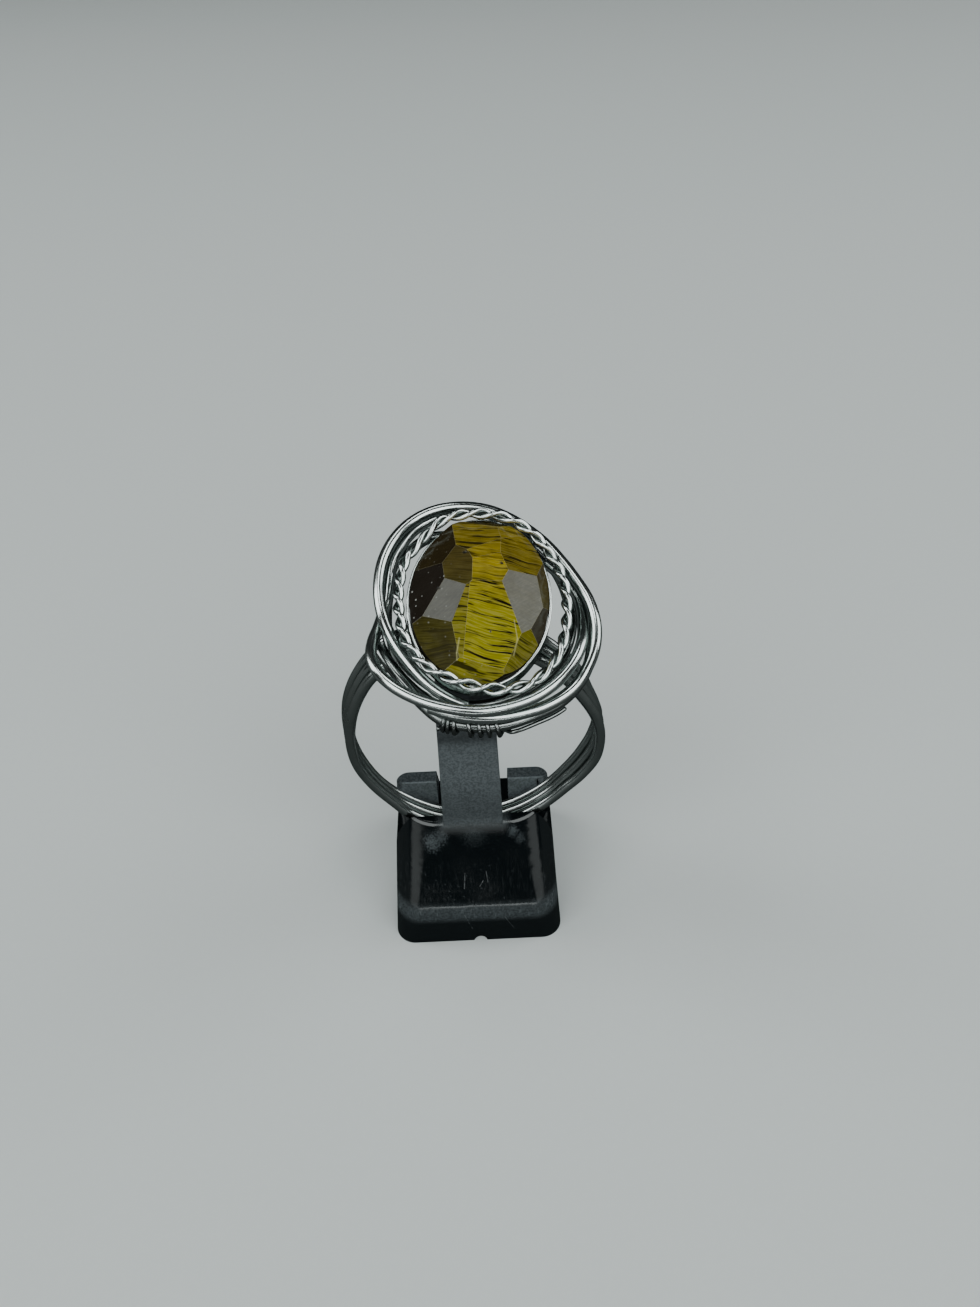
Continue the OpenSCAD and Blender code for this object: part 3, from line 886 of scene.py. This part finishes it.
def black_plastic_finish(look):
    """Moulded gloss plastic: fine brushing, dust, scratches, a cloudy polish, and painted light on the
    tongue, the lugs and the foot's ridge.
    """
    finish, tree, surface = new_finish("black_plastic")
    place = frame_place(tree)
    x, y, z = split(place)
    brushed = effect("Streaks", joined(x * 4.0, y, z * 0.8), scale=1.5, low=0.52, high=0.75)
    cloudy = effect("Clouds", place, scale=0.3, low=0.4, high=0.7)
    low_front = zone(z, "under the wall's top") * zone(z, "over the ridge")
    dusty = effect("Specks", place, scale=2.6, share=0.3, size=0.25) * (low_front * 0.25 + 0.1)

    front_place = joined(x, 0.0, z)
    on_front = zone(y, "front face")
    scratches = most(*(effect("Line", front_place, start=(x1, 0.0, z1), end=(x2, 0.0, z2), width=width)
                       for x1, z1, x2, z2, width in SCRATCHES))
    scratches = scratches * step_up(noise(place, 3.0, 3.0), 0.35, 0.55) * on_front
    marks = most(scratches, brushed * low_front * 0.22)

    # painted light: the tongue and the lugs are painted a lit grey, more on the lugs' fronts and up the
    # tongue and less under its bend where the head shades it, and the ridge round the foot gets a painted
    # highlight band; these places are also made duller
    matte = zone(z, "at the tongue's root") * zone(calc("ABSOLUTE", x), "in the middle")
    on_tongue = matte * zone(z, "over the tongue's root")
    on_tongue = on_tongue * zone(z, "up the tongue") * zone(z, "under the tongue's bend")
    on_lugs = zone(y, "behind the groove") * zone(z, "over the groove's floor")
    on_lugs = on_lugs * zone(y, "front of the lugs")
    # painted highlight: a soft band round the foot's ridge, also made duller
    painted_ridge_highlight = zone(z, "under the ridge's top") * zone(z, "over the ridge's foot")
    painted_ridge_highlight = painted_ridge_highlight * (brushed * 0.5 + 0.5)
    smudges_and_painted_light = most(on_tongue, on_lugs, painted_ridge_highlight * 0.42)
    matte = most(matte, painted_ridge_highlight * 0.35)
    for middle_x, middle_z, size, strength in SMUDGES:
        smudge = effect("Pit", front_place, middle=(middle_x, 0.0, middle_z), size=size)
        smudges_and_painted_light = most(smudges_and_painted_light, smudge * on_front * strength)

    # painted light on the tongue, lugs and ridge, and the smudges' haze, mottled
    haze_and_painted_light = smudges_and_painted_light * 0.97 * step_up(noise(place, 6.0, 4.0), 0.35, 0.65, 0.6, 1.15)
    colour = mix(haze_and_painted_light, solid(look.black), solid(look.haze_and_painted_light))
    colour = mix(dusty * 0.5, colour, solid(look.dust))
    colour = mix(marks * 0.28, colour, solid(look.dust))
    rough = most(smudges_and_painted_light, matte) * 0.25 + marks * 0.2 + cloudy * 0.06 + 0.09
    relief = noise(place, 1.0) * 0.4 - scratches
    dress(surface, {"Base Color": colour, "Roughness": rough, "IOR": 1.49,
                    "Normal": bump(relief, 0.3, 0.0001), "Specular IOR Level": 0.9})
    return finish


def floor_finish(look):
    """Plain pale paper, with a painted dark reflection in polished pieces."""
    finish, tree, surface = new_finish("pale_floor")
    grain = noise(frame_place(tree), 1.5, 4.0)
    paper = mix(grain, solid(look.floor, 0.97), solid(look.floor))
    # painted reflection: polished pieces see the floor painted near-black, so their undersides stay dark
    colour = mix(seen_by(tree, "Is Glossy Ray"), paper, solid(look.painted_dark_floor_reflection))
    dress(surface, {"Base Color": colour, "Roughness": 0.75})
    return finish


# The pieces

class RING_OT_stone(bpy.types.Operator):
    """Cuts the faceted tiger eye"""
    bl_idname = "ring.stone"
    bl_label = "Stone"

    def execute(self, context):
        look = context.scene.ring_stone
        half_width, half_length = millimetres(look.width) / 2, millimetres(look.length) / 2
        rise, bottom = millimetres(look.dome_height) + DOME_SINK, -millimetres(look.depth)
        shape = bmesh.new()
        tone = shape.faces.layers.float_vector.new("facet_tone")
        marks = shape.faces.layers.float_vector.new("facet_marks")
        turns = stretch(0, math.tau, STONE_SIDES)[:-1]
        skin(shape, [[shape.verts.new((half_width * math.cos(turn), half_length * math.sin(turn), level))
                      for turn in turns] for level in (bottom, rise)])
        for face in shape.faces:
            face[tone], face[marks] = Vector(GIRDLE_LOOK[:3]), Vector((*GIRDLE_LOOK[3:], 0.0))
        wide, long = DOME_OVER_WIDTH * half_width, DOME_OVER_LENGTH * half_length
        for across, along, cut, *looks in FACETS:
            x, y = across / wide, along / long
            z = math.sqrt(1 - x * x - y * y)
            normal = Vector((x / wide, y / long, z / rise)).normalized()
            touched = Vector((across, along, rise * z - DOME_SINK))
            facet = self.cut_facet(shape, touched - normal * cut, normal)
            facet[tone], facet[marks] = Vector(looks[:3]), Vector((*looks[3:], 0.0))
            facet.material_index = FACET
        if sum(face.material_index == FACET for face in shape.faces) < FEWEST_FACETS:
            raise RuntimeError("the stone lost facets")
        ridges = [edge for edge in shape.edges
                  if all(face.material_index == FACET for face in edge.link_faces)]
        worn = bmesh.ops.bevel(shape, geom=ridges, offset=WORN_RIDGE, segments=1, affect="EDGES",
                               profile=0.5, clamp_overlap=True, material=RIDGE)["faces"]
        for face in worn:
            face[marks] = Vector((face[marks][0], face[marks][1], 1.0))
        for face in shape.faces:
            face.smooth = face.material_index == GIRDLE
            face.material_index = 0
        add_piece("faceted_stone", as_mesh(shape, "faceted_stone"), tiger_eye_finish(look),
                  "stone", HEAD)
        return {"FINISHED"}

    def cut_facet(self, shape, point, normal):
        """Cuts the stone along a plane, and returns the facet that closes it."""
        cut = bmesh.ops.bisect_plane(shape, geom=shape.verts[:] + shape.edges[:] + shape.faces[:],
                                     dist=1e-5, plane_co=point, plane_no=normal, clear_outer=True)
        edges = [part for part in cut["geom_cut"] if isinstance(part, bmesh.types.BMEdge)]
        made = bmesh.ops.edgeloop_fill(shape, edges=edges)["faces"]
        if len(made) != 1:
            raise RuntimeError("a facet of the stone didn't close")
        return made[0]


class RING_OT_bezel(bpy.types.Operator):
    """Bends the thin strip round the stone, with its rim burnished over"""
    bl_idname = "ring.bezel"
    bl_label = "Bezel"

    def execute(self, context):
        look = context.scene.ring_stone
        half_width, half_length = millimetres(look.width) / 2, millimetres(look.length) / 2
        inner, wall = millimetres(look.bezel_gap), millimetres(look.bezel_wall)
        low = -millimetres(look.bezel_height)
        # the strip cut across
        # columns: share of the wall, level
        section = [(0, low), (0, -0.05), (0.1, -0.015), (0.3, 0), (0.65, 0), (0.9, -0.03),
                   (1, -0.1), (0.97, -0.3), (0.97, low)]
        shape = bmesh.new()
        rings = []
        for turn in stretch(0, math.tau, BEZEL_SIDES)[:-1]:
            dent = abs(RIM_DENT * math.sin(11 * turn) * math.sin(4 * turn + 1))
            ring = []
            for share, level in section:
                worn = dent * share if level > RIM_LEVEL else 0.0
                reach = inner + wall * share - worn
                ring.append(shape.verts.new(((half_width + reach) * math.cos(turn),
                                             (half_length + reach) * math.sin(turn), level - worn)))
            rings.append(ring)
        skin(shape, rings, closed=True)
        finish = bpy.data.materials.get("polished_silver") or silver_finish(context.scene.ring_wire)
        add_piece("bezel_strip", crisp_mesh(shape), finish, "bezel", HEAD)
        return {"FINISHED"}


class RING_OT_twist(bpy.types.Operator):
    """Twists the two thin strands round the bezel"""
    bl_idname = "ring.twist"
    bl_label = "Twisted wire"

    def execute(self, context):
        look = context.scene.ring_wire
        finish = silver_finish(look, "twisted_silver", tarnish_and_shade=1.2)
        table = looped(TWIST)
        angles = stretch(0, 360, look.twist_turns * POINTS_A_TURN)[:-1]
        for number, start in ((1, 0), (2, 180)):
            path = []
            for angle in angles:
                phase = math.radians(start + look.twist_turns * angle)
                spread = smooth(table, angle, 3) * FINE_SHARE
                path.append(beside(table, angle, spread, phase))
            mesh = wire_mesh("strand", path, [around(angle, 1) for angle in angles],
                             millimetres(look.strand) * FINE_SHARE, STRAND_SIDES, True)
            add_piece(f"round_strand_{number}", mesh, finish, f"twist_strand_{number}", HEAD)
        return {"FINISHED"}


class RING_OT_nest(bpy.types.Operator):
    """Winds the four thick wires round the setting"""
    bl_idname = "ring.nest"
    bl_label = "Nest wires"

    def execute(self, context):
        look = context.scene.ring_wire
        polished = silver_finish(look)
        # painted shade: the lower nest wires get a darker copy of the silver
        shaded = silver_finish(look, "shaded_lower_silver", tarnish_and_shade=1.6, painted_shade_scale=0.5)
        for node, table in NEST.items():
            finish = polished if node in ("nest_wire_1", "nest_wire_2") else shaded
            first, last = table[0][0], table[-1][0]
            path = [nest_point(table, angle)
                    for angle in stretch(first, last, round((last - first) * POINTS_A_DEGREE))]
            mesh = wire_mesh(node, path, [Vector((p.x, p.y, 0)) for p in path],
                             millimetres(look.thick) * FINE_SHARE, THICK_SIDES, False)
            add_piece("round_" + node, mesh, finish, node, HEAD)
        return {"FINISHED"}


class RING_OT_shank(bpy.types.Operator):
    """Bends the three wires that go round the finger"""
    bl_idname = "ring.shank"
    bl_label = "Shank wires"

    def execute(self, context):
        look = context.scene.ring_wire
        # painted shade: the shank gets a darker copy of the silver
        finish = silver_finish(look, "shank_silver", tarnish_and_shade=1.4, painted_shade_scale=0.75)
        front, back = looped(SHANK_FRONT), looped(SHANK_BACK)
        for node, place in (("shank_front", -1), ("shank_middle", 0), ("shank_back", 1)):
            share = (place + 1) / 2
            path = []
            for angle in stretch(0, 360, SHANK_POINTS)[:-1]:
                reach = smooth(front, angle, 1) * (1 - share) + smooth(back, angle, 1) * share
                flat = around(angle, reach)
                path.append(RING_MIDDLE + Vector((flat.x, place * millimetres(look.spacing), flat.y)))
            mesh = wire_mesh(node, path, [Vector((0, 1, 0))] * len(path),
                             millimetres(look.thick) * FINE_SHARE, THICK_SIDES, True)
            add_piece("round_" + node, mesh, finish, node)
        return {"FINISHED"}


class RING_OT_binding(bpy.types.Operator):
    """Winds the thin wire round the lowest nest wire"""
    bl_idname = "ring.binding"
    bl_label = "Binding wire"

    def execute(self, context):
        look = context.scene.ring_wire
        # painted shade: the binding wire under the head gets a much darker copy of the silver
        finish = silver_finish(look, "binding_silver", tarnish_and_shade=1.6, painted_shade_scale=0.3)
        path, sides = [], []
        for place in stretch(0, BINDING[-1][0], POINTS_A_TURN * BINDING[-1][0]):
            turns, angle, off = (smooth(BINDING, place, column) for column in (1, 2, 3))
            path.append(beside(NEST["nest_wire_4"], angle, off, math.tau * -turns))
            sides.append(around(angle + 90, 1))
        mesh = wire_mesh("binding", path, sides, millimetres(look.binding), BINDING_SIDES, False)
        add_piece("round_binding_wire", mesh, finish, "binding_wire", HEAD)
        return {"FINISHED"}


def foot_slice(height, width, front, back, front_radius, back_radius):
    """Points round one level slice of the foot."""
    corners = [(1, back, -1, back_radius, 0), (-1, back, -1, back_radius, 90),
               (-1, front, 1, front_radius, 180), (1, front, 1, front_radius, 270)]
    points = []
    for side, edge, inward, radius, start in corners:
        middle = Vector((side * (width / 2 - radius), edge + inward * radius, height))
        points += [middle + around(angle, radius) for angle in stretch(start, start + 90, 12)]
    return points


class RING_OT_stand(bpy.types.Operator):
    """Moulds the stand: foot, front wall, groove, lugs and tongue"""
    bl_idname = "ring.stand"
    bl_label = "Stand"

    def execute(self, context):
        look = context.scene.ring_stand
        half_groove, half_gap = millimetres(look.groove_width) / 2, millimetres(look.lug_gap) / 2
        floor, wall = millimetres(look.groove_floor), millimetres(look.wall_height)
        shape = self.foot()
        for cutter in (block((-FAR, -half_groove, floor), (FAR, half_groove, FAR * 2)),
                       block((-FAR, -FAR, wall), (FAR, 0, FAR * 2)),
                       block((-half_gap, 0, floor), (half_gap, FAR, FAR * 2)),
                       self.chip(),
                       self.lug_corner(-1, half_groove, floor),
                       self.lug_corner(1, half_groove, floor)):
            shape = cut_away(shape, cutter)
        corners = [edge for edge in shape.edges if edge.is_manifold
                   and edge.calc_face_angle() > math.radians(CORNER_ANGLE)]
        bmesh.ops.bevel(shape, geom=corners, offset=CORNER_ROUND, segments=3, affect="EDGES",
                        profile=0.5, clamp_overlap=True)
        self.add_tongue(shape, look, half_groove)
        add_piece("moulded_stand", even_shading(crisp_mesh(shape)), black_plastic_finish(look),
                  "stand")
        return {"FINISHED"}

    def foot(self):
        """Foot through its level slices, with the ridge at the second one rounded."""
        shape = bmesh.new()
        slices = [[shape.verts.new(point) for point in foot_slice(*row)] for row in FOOT_SLICES]
        skin(shape, slices)
        ridge = [shape.edges.get((slices[1][i - 1], point)) for i, point in enumerate(slices[1])]
        bmesh.ops.bevel(shape, geom=ridge, offset=RIDGE_ROUND, segments=8, affect="EDGES", profile=0.5)
        return shape

    def chip(self):
        """Cutter for the small chip at the foot's front edge."""
        cutter = bmesh.new()
        place = Matrix.Translation(CHIP_PLACE) @ Matrix.Rotation(CHIP_LEAN, 4, "Y")
        bmesh.ops.create_icosphere(cutter, subdivisions=3, radius=1.0,
                                   matrix=place @ Matrix.Diagonal((*CHIP_SIZE, 1.0)))
        return cutter

    def lug_corner(self, side, half_groove, floor):
        """Cutter that rounds the outer front corner of one lug."""
        middle_y = half_groove + LUG_CORNER_ROUND
        turns = [math.radians(angle) for angle in stretch(-90, 0, 10)]
        # these stay plain numbers, because the first point has to lie in the lug's front face
        outline = [(LUG_CORNER_X + LUG_CORNER_ROUND * math.cos(turn),
                    middle_y + LUG_CORNER_ROUND * math.sin(turn)) for turn in turns]
        outline += [(FAR, middle_y), (FAR, half_groove - 1), (LUG_CORNER_X, half_groove - 1)]
        cutter = bmesh.new()
        skin(cutter, [[cutter.verts.new((side * x, y, level)) for x, y in outline]
                      for level in (floor, floor + FAR)])
        return cutter

    def add_tongue(self, shape, look, half_groove):
        """Strip with rounded edges that stands up from the front wall and hooks over."""
        thickness, bend = millimetres(look.tongue_thickness), millimetres(look.tongue_bend)
        root, tip = millimetres(look.tongue_width) / 2, millimetres(look.tip_width) / 2
        bend_height = millimetres(look.bend_height)
        front = -half_groove - thickness
        forward = Vector((0, -1, 0))
        start, bulge, end = RUN_OUT_HEIGHTS
        # stations up the strip
        # columns: middle of its back face, way out through its front, thickness, half width
        stations = []
        # the front runs out of the sloping wall in a long smooth curve
        for t in stretch(0, 1, 16)[:-1]:
            y = front + (1 - t) ** 2 * (RUN_OUT_Y - front)
            z = (1 - t) ** 2 * start + 2 * t * (1 - t) * bulge + t * t * end
            stations.append((Vector((0, -half_groove, z)), forward, -half_groove - y, root))
        for share in stretch(0, 1, 10):
            z = end + (bend_height - end) * share
            stations.append((Vector((0, -half_groove, z)), forward, thickness, root + (tip - root) * share))
        middle = Vector((0, front + bend, bend_height))
        for angle in stretch(180, 0, 24)[1:]:
            turn = math.radians(angle)
            out = Vector((0, math.cos(turn), math.sin(turn)))
            stations.append((middle + out * (bend - thickness), out, thickness, tip))
        rings = []
        for back, out, depth, half in stations:
            ring = []
            for side, inward, start in ((1, TONGUE_EDGE, 270), (1, depth - TONGUE_EDGE, 0),
                                        (-1, depth - TONGUE_EDGE, 90), (-1, TONGUE_EDGE, 180)):
                corner = back + out * inward + Vector((side * (half - TONGUE_EDGE), 0, 0))
                for angle in stretch(start, start + 90, 4):
                    bead = around(angle, TONGUE_EDGE)
                    ring.append(shape.verts.new(corner + Vector((bead.x, 0, 0)) + out * bead.y))
            rings.append(ring)
        skin(shape, rings)


class RING_OT_studio(bpy.types.Operator):
    """Lays the pale floor and sets the soft light and the camera"""
    bl_idname = "ring.studio"
    bl_label = "Studio"

    def execute(self, context):
        look = context.scene.ring_studio
        self.lay_floor(look)
        self.set_room(context, look)
        self.set_lights(look)
        self.set_camera(context, look)
        return {"FINISHED"}

    def lay_floor(self, look):
        shape = bmesh.new()
        bmesh.ops.create_circle(shape, cap_ends=True, radius=FLOOR_RADIUS, segments=96)
        mesh = crisp_mesh(shape)
        mesh.transform(Matrix.Scale(MM, 4))
        mesh.materials.append(floor_finish(look))
        show("pale_floor", mesh)

    def set_room(self, context, look):
        """Dim room round the ring. Past the floor's edge the eye meets a backdrop that lights nothing."""
        world = fresh(bpy.data.worlds, "dim_room")
        world.use_nodes = True
        tree = world.node_tree
        room = tree.nodes["Background"]
        dress(room, {"Color": solid(look.room), "Strength": look.surroundings})
        backdrop = put("Background", {"Color": solid(look.floor), "Strength": look.backdrop}, tree=tree)
        both = put("MixShader", {0: seen_by(tree, "Is Camera Ray"), 1: Value(tree, room.outputs[0]),
                                 2: backdrop})
        feed(tree.nodes["World Output"].inputs["Surface"], both)
        context.scene.world = world

    def set_lights(self, look):
        for name, height, heading, away, wide, high, glow in LIGHTS:
            lamp = fresh(bpy.data.lights, name, "AREA")
            lamp.shape = "RECTANGLE"
            lamp.size, lamp.size_y = wide * MM, high * MM
            lamp.energy = glow * look.brightness * math.pi * lamp.size * lamp.size_y
            lamp.color = look.lamp
            rise, turn = math.radians(height), math.radians(heading)
            towards = Vector((math.cos(rise) * math.sin(turn), math.cos(rise) * math.cos(turn),
                              math.sin(rise)))
            light = show(name, lamp)
            light.location = (LIT_POINT + towards * away) * MM
            light.rotation_euler = (-towards).to_track_quat("-Z", "Y").to_euler()

    def set_camera(self, context, look):
        film = fresh(bpy.data.cameras, "photo_view")
        film.sensor_fit = "VERTICAL"
        film.sensor_height = FILM_HEIGHT
        film.lens = look.lens
        film.clip_start = 0.001
        film.clip_end = 20
        side = Vector((1, 0, 0))
        up = Vector((0, math.sin(look.pitch), math.cos(look.pitch)))
        ahead = Vector((0, math.cos(look.pitch), -math.sin(look.pitch)))
        right = math.cos(look.roll) * side - math.sin(look.roll) * up
        above = math.sin(look.roll) * side + math.cos(look.roll) * up
        pose = Matrix((right, above, -ahead)).transposed().to_4x4()
        pose.translation = CAMERA_PLACE * MM
        camera = show("photo_view", film)
        camera.matrix_world = pose
        context.scene.camera = camera


class RING_PT_panel(bpy.types.Panel):
    """Lists the ring's settings and the steps that build it"""
    bl_idname = "RING_PT_panel"
    bl_label = "Tiger Eye Ring"
    bl_space_type = "VIEW_3D"
    bl_region_type = "UI"
    bl_category = "Ring"

    def draw(self, context):
        for name, group in SETTINGS.items():
            box = self.layout.box()
            for label in group.__annotations__:
                box.prop(getattr(context.scene, name), label)
        for step in STEPS:
            self.layout.operator(step.bl_idname)


STEPS = [RING_OT_nest, RING_OT_shank, RING_OT_stone, RING_OT_bezel, RING_OT_twist,
         RING_OT_binding, RING_OT_stand, RING_OT_studio]


def register():
    for group in (*SETTINGS.values(), *STEPS, RING_PT_panel):
        bpy.utils.register_class(group)
    for name, group in SETTINGS.items():
        setattr(bpy.types.Scene, name, PointerProperty(type=group))


def unregister():
    for name in SETTINGS:
        delattr(bpy.types.Scene, name)
    for group in (RING_PT_panel, *reversed(STEPS), *reversed(SETTINGS.values())):
        bpy.utils.unregister_class(group)


def main():
    register()
    bpy.ops.ring.nest()
    bpy.ops.ring.shank()
    bpy.ops.ring.stone()
    bpy.ops.ring.bezel()
    bpy.ops.ring.twist()
    bpy.ops.ring.binding()
    bpy.ops.ring.stand()
    bpy.ops.ring.studio()


if __name__ == "__main__":
    main()
